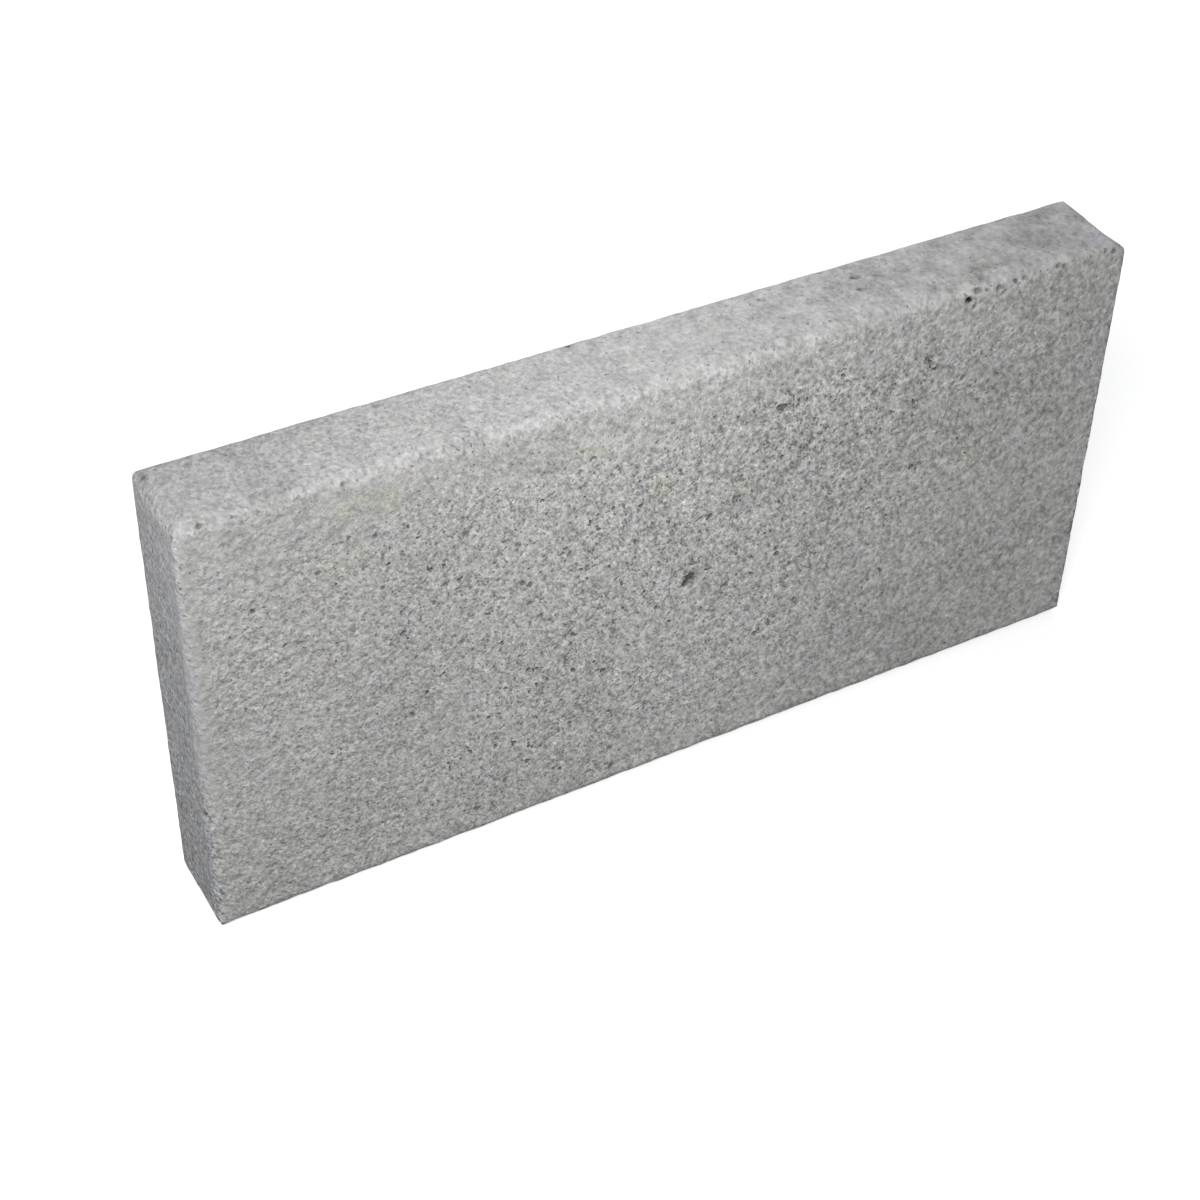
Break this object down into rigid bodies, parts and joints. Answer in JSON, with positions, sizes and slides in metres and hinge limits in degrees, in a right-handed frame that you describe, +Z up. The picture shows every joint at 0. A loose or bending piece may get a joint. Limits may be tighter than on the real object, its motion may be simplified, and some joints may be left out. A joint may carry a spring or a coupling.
{
  "type": "wall cap block",
  "caption": "Thin solid concrete block that is laid flat over a hollow-block wall to close and cap it; one plain piece, shown standing on a long narrow side.",
  "frame": {"origin": "middle of the long narrow side that it stands on, at floor level", "axes": "+X along its length, +Y through its thickness towards the bed face, +Z up"},
  "size_m": [0.3968, 0.0398, 0.1905],
  "materials": {
    "concrete": "matt dry-cast grey concrete, open and pitted on the broad faces, with a closer cement skin on the long narrow side that faces up"
  },
  "bodies": {
    "root": {"cap_block": "concrete"}
  },
  "joints": []
}
